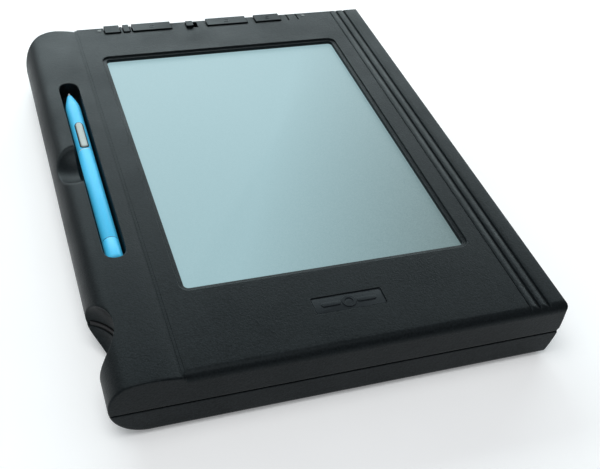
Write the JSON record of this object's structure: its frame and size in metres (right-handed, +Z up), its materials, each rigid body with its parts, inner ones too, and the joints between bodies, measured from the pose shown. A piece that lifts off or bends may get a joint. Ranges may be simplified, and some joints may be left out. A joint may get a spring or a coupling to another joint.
{
  "type": "pen tablet",
  "caption": "Notebook-size pen tablet: flat display under glass, D-shaped grip with a pen in a long well, push keys and port doors along the rear edge.",
  "frame": {"origin": "middle of the case's plan, on the surface that the rubber feet stand on", "axes": "+X from the grip to the ribbed side, +Y from the front face to the rear edge with the keys, +Z up out of the display"},
  "size_m": [0.23, 0.3, 0.0363],
  "materials": {
    "upper_case": "fine-grained moulded plastic, charcoal",
    "lower_case": "fine-grained moulded plastic, charcoal",
    "key_plastic": "fine-grained moulded plastic",
    "black_rubber": "matte",
    "display_glass": "etched anti-glare glass",
    "display_face": "unlit passive display, pale blue-green",
    "light_guide_plastic": "clear",
    "sheet_steel": "stamped and plated",
    "circuit_board": "solder mask",
    "chip_plastic": "moulded epoxy",
    "cast_aluminium": "cast, satin",
    "steel_parts": "plated",
    "battery_sleeve": "shrink sleeve",
    "light_lens": "smoked lens, unlit",
    "emblem_plastic": "satin",
    "pen_blue": "satin moulded plastic, sky blue",
    "pen_blue_dark": "satin moulded plastic, sky blue",
    "pen_pale": "satin",
    "pen_grey": "satin silver-grey",
    "ribbon_film": "polyimide film"
  },
  "bodies": {
    "case": {"top_shell": "upper_case", "bottom_shell": "lower_case", "window_gasket": "black_rubber", "digitizer_glass": "display_glass", "display_panel": "display_face", "light_guide": "light_guide_plastic", "backlight_tubes": "light_guide_plastic", "display_frame": "sheet_steel", "shield_plate": "sheet_steel", "inverter_board": "circuit_board", "inverter_parts": "chip_plastic", "main_board": "circuit_board", "board_chips": "chip_plastic", "heat_spreader": "cast_aluminium", "memory_module": "circuit_board", "memory_socket": "chip_plastic", "hard_drive": "cast_aluminium", "drive_tray": "sheet_steel", "power_board": "circuit_board", "power_parts": "chip_plastic", "backup_cell": "steel_parts", "battery_pack": "battery_sleeve", "battery_contacts": "sheet_steel", "speaker": "chip_plastic", "key_boards": "circuit_board", "key_switches": "chip_plastic", "door_pins": "sheet_steel", "port_board": "circuit_board", "port_connectors": "sheet_steel", "status_lights": "light_lens", "emblem_plate": "emblem_plastic", "rubber_feet": "black_rubber", "case_screws": "steel_parts", "board_screws": "steel_parts", "display_ribbon": "ribbon_film", "drive_ribbon": "ribbon_film"},
    "pen": {"pen_grip": "pen_blue", "pen_barrel": "pen_blue", "pen_seam_ring": "pen_pale", "pen_tail_cap": "pen_blue_dark", "pen_tail_plug": "pen_pale", "pen_nib": "pen_pale", "pen_core": "circuit_board"},
    "pen_key": {"pen_key": "pen_grey"},
    "wide_key": {"wide_key": "key_plastic"},
    "middle_key": {"middle_key": "key_plastic"},
    "small_key": {"small_key": "key_plastic"},
    "power_slide": {"power_slide": "key_plastic"},
    "wide_port_door": {"wide_port_door": "key_plastic"},
    "small_port_door": {"small_port_door": "key_plastic"},
    "battery_door": {"battery_door": "lower_case"}
  },
  "joints": [
    {"name": "pen_lift", "type": "slide", "parent": "case", "child": "pen", "axis": [0, 0, 1], "range_m": [0, 0.03]},
    {"name": "pen_key_press", "type": "slide", "parent": "pen", "child": "pen_key", "axis": [0, 0, -1], "range_m": [0, 0.0005], "stiffness_N_per_m": 300, "springref_m": -0.0004},
    {"name": "wide_key_press", "type": "slide", "parent": "case", "child": "wide_key", "axis": [0, 0, -1], "range_m": [0, 0.0008], "stiffness_N_per_m": 400, "springref_m": -0.0006},
    {"name": "middle_key_press", "type": "slide", "parent": "case", "child": "middle_key", "axis": [0, 0, -1], "range_m": [0, 0.0008], "stiffness_N_per_m": 400, "springref_m": -0.0006},
    {"name": "small_key_press", "type": "slide", "parent": "case", "child": "small_key", "axis": [0, 0, -1], "range_m": [0, 0.0008], "stiffness_N_per_m": 400, "springref_m": -0.0006},
    {"name": "power_slide_travel", "type": "slide", "parent": "case", "child": "power_slide", "axis": [1, 0, 0], "range_m": [0, 0.003]},
    {"name": "wide_port_door_hinge", "type": "hinge", "parent": "case", "child": "wide_port_door", "pos_m": [-0.03185, 0.1489, 0.0212], "axis": [-1, 0, 0], "range_deg": [0, 95]},
    {"name": "small_port_door_hinge", "type": "hinge", "parent": "case", "child": "small_port_door", "pos_m": [-0.05785, 0.1489, 0.0212], "axis": [-1, 0, 0], "range_deg": [0, 95]},
    {"name": "battery_door_slide", "type": "slide", "parent": "case", "child": "battery_door", "axis": [0, 1, 0], "range_m": [0, 0.012]}
  ]
}
